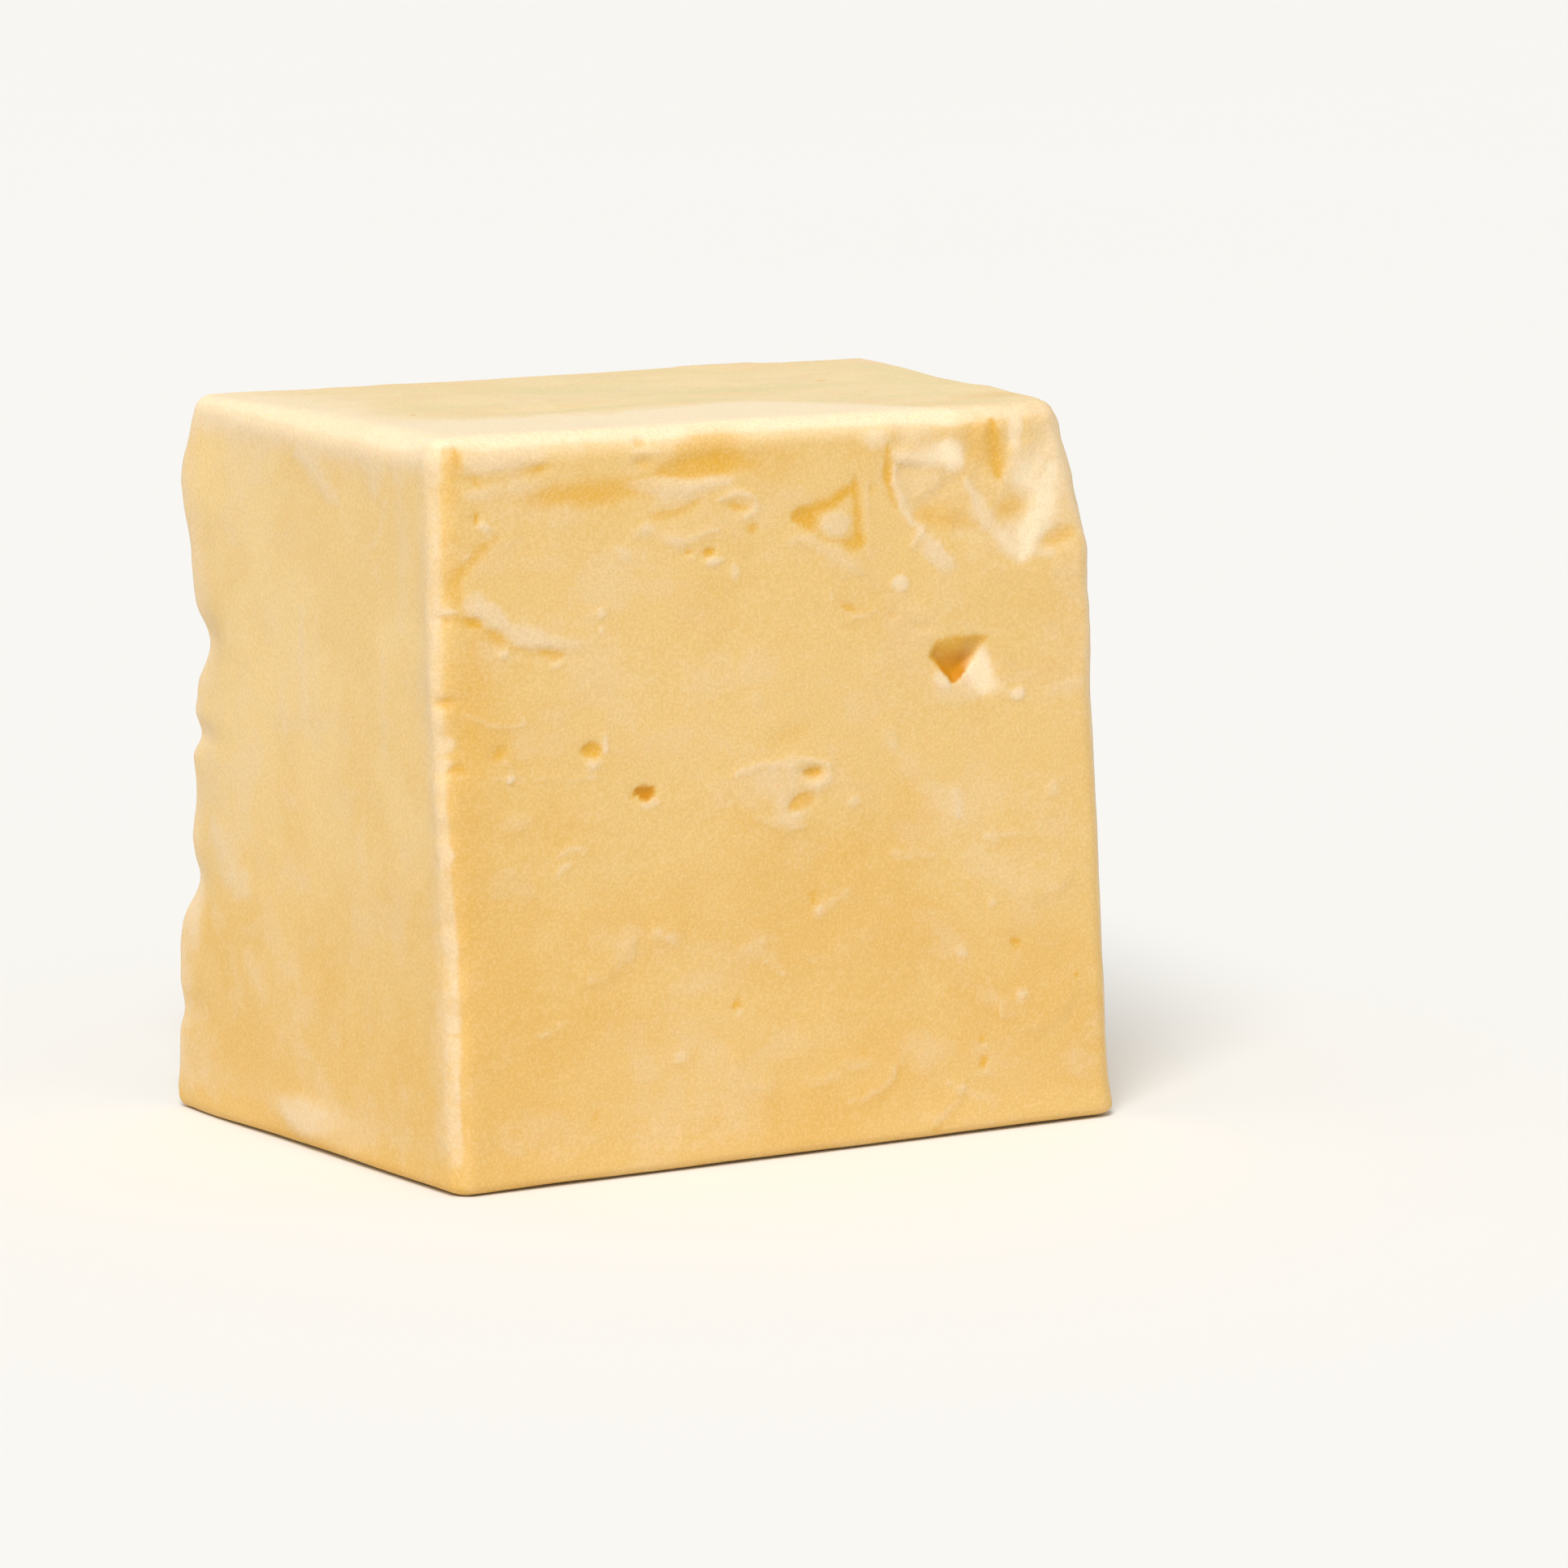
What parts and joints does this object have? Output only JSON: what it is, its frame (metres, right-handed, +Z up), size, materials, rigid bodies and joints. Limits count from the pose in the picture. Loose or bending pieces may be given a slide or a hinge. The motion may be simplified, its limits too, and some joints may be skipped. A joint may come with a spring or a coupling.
{
  "type": "cheese wedge",
  "caption": "Squared, slightly tapered wedge of firm pressed cheese cut from a larger block, with worn rounded edges, small eyes, a torn top corner and a flat underside to rest on",
  "frame": {"origin": "middle of the footprint's bounding box, on the surface that the cheese rests on", "axes": "+Z up; +X along the front cut face from left to right, which is the longest extent; +Y from the front face to the back"},
  "size_m": [0.1222, 0.0794, 0.1055],
  "materials": {
    "cheese": "waxy, softly translucent cut cheese"
  },
  "bodies": {
    "root": {"cheese_wedge": "cheese"}
  },
  "joints": []
}
